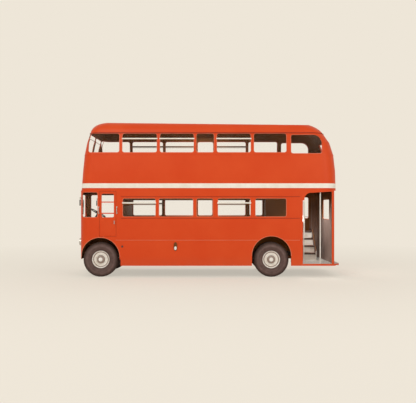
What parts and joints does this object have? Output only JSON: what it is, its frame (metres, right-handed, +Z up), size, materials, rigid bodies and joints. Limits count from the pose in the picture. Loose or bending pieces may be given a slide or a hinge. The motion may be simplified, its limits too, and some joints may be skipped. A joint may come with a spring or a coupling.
{
  "type": "half-cab double decker bus with open rear platform",
  "caption": "Half-cab double decker bus with an open rear platform, winding stairs, steered front wheels, twin rear wheels, and an opening cab door, bonnet and upper rear window.",
  "frame": {"origin": "on the ground under the middle of the bounding box", "axes": "-X forward, -Y the nearside (left), +Z up"},
  "size_m": [7.4, 2.62, 4.4459],
  "materials": {
    "paint_red": "gloss orange-red body paint",
    "chassis_steel": "satin black-brown paint",
    "engine_iron": "painted cast iron",
    "bright_metal": "polished",
    "rail_enamel": "white enamel",
    "tyre": "dark brown-grey rubber",
    "rim_paint": "light grey paint",
    "glass": "clear",
    "seat_moquette": "dark brown cloth",
    "floor_covering": "slatted timber and linoleum",
    "bulkhead_panel": "dark brown lining",
    "black_plastic": "black",
    "lamp": "lamp glass and rims"
  },
  "bodies": {
    "bus": {"chassis_frame": "chassis_steel", "front_axle": "chassis_steel", "rear_axle": "chassis_steel", "leaf_springs": "chassis_steel", "power_unit": "engine_iron", "side_tanks": "chassis_steel", "radiator": "bright_metal", "front_wing": "paint_red", "cab_shell": "paint_red", "bulkheads": "bulkhead_panel", "lower_side_left": "paint_red", "lower_side_right": "paint_red", "lower_rear": "paint_red", "lower_floor": "floor_covering", "platform": "floor_covering", "staircase": "floor_covering", "handrails": "rail_enamel", "upper_floor": "floor_covering", "upper_side_left": "paint_red", "upper_side_right": "paint_red", "upper_front": "paint_red", "upper_rear": "paint_red", "roof": "paint_red", "window_glass": "glass", "lower_seats": "seat_moquette", "upper_seats": "seat_moquette", "steering_column": "chassis_steel", "lamps": "lamp", "mirrors": "bright_metal"},
    "steering_left": {"knuckle_left": "chassis_steel"},
    "steering_right": {"knuckle_right": "chassis_steel"},
    "front_wheel_left": {"front_rim_left": "rim_paint", "front_tyre_left": "tyre"},
    "front_wheel_right": {"front_rim_right": "rim_paint", "front_tyre_right": "tyre"},
    "rear_wheels_left": {"rear_rims_left": "rim_paint", "rear_tyres_left": "tyre"},
    "rear_wheels_right": {"rear_rims_right": "rim_paint", "rear_tyres_right": "tyre"},
    "steering_wheel": {"steering_wheel": "black_plastic"},
    "bonnet": {"bonnet": "paint_red"},
    "cab_door": {"cab_door": "paint_red", "cab_door_glass": "glass"},
    "emergency_exit": {"emergency_window": "paint_red", "emergency_glass": "glass"}
  },
  "joints": [
    {"name": "steer_left", "type": "hinge", "parent": "bus", "child": "steering_left", "pos_m": [-3.055, -0.87, 0.49], "axis": [0, 0, 1], "range_deg": [-28, 28]},
    {"name": "steer_right", "type": "hinge", "parent": "bus", "child": "steering_right", "pos_m": [-3.055, 0.87, 0.49], "axis": [0, 0, 1], "range_deg": [-28, 28]},
    {"name": "steering_wheel_turn", "type": "hinge", "parent": "bus", "child": "steering_wheel", "pos_m": [-3.215, -0.64, 1.8], "axis": [0.5, 0, 0.866], "range_deg": [-336, 336]},
    {"name": "front_left_spin", "type": "hinge", "parent": "steering_left", "child": "front_wheel_left", "pos_m": [-3.055, -1.025, 0.49], "axis": [0, 1, 0], "continuous": true},
    {"name": "front_right_spin", "type": "hinge", "parent": "steering_right", "child": "front_wheel_right", "pos_m": [-3.055, 1.025, 0.49], "axis": [0, 1, 0], "continuous": true},
    {"name": "rear_left_spin", "type": "hinge", "parent": "bus", "child": "rear_wheels_left", "pos_m": [1.761, -0.95, 0.49], "axis": [0, 1, 0], "continuous": true},
    {"name": "rear_right_spin", "type": "hinge", "parent": "bus", "child": "rear_wheels_right", "pos_m": [1.761, 0.95, 0.49], "axis": [0, 1, 0], "continuous": true},
    {"name": "cab_door_hinge", "type": "hinge", "parent": "bus", "child": "cab_door", "pos_m": [-3.074, -1.23, 1.78], "axis": [0, 0, -1], "range_deg": [0, 80]},
    {"name": "bonnet_hinge", "type": "hinge", "parent": "bus", "child": "bonnet", "pos_m": [-3, -0.32, 1.49], "axis": [1, 0, 0], "range_deg": [0, 60]},
    {"name": "emergency_exit_hinge", "type": "hinge", "parent": "bus", "child": "emergency_exit", "pos_m": [3.38662, 0, 3.93202], "axis": [0, -1, 0], "range_deg": [0, 70]}
  ],
  "couplings": [
    {"joint": "steer_right", "follows": "steer_left", "ratio": 1},
    {"joint": "steering_wheel_turn", "follows": "steer_left", "ratio": 12}
  ]
}
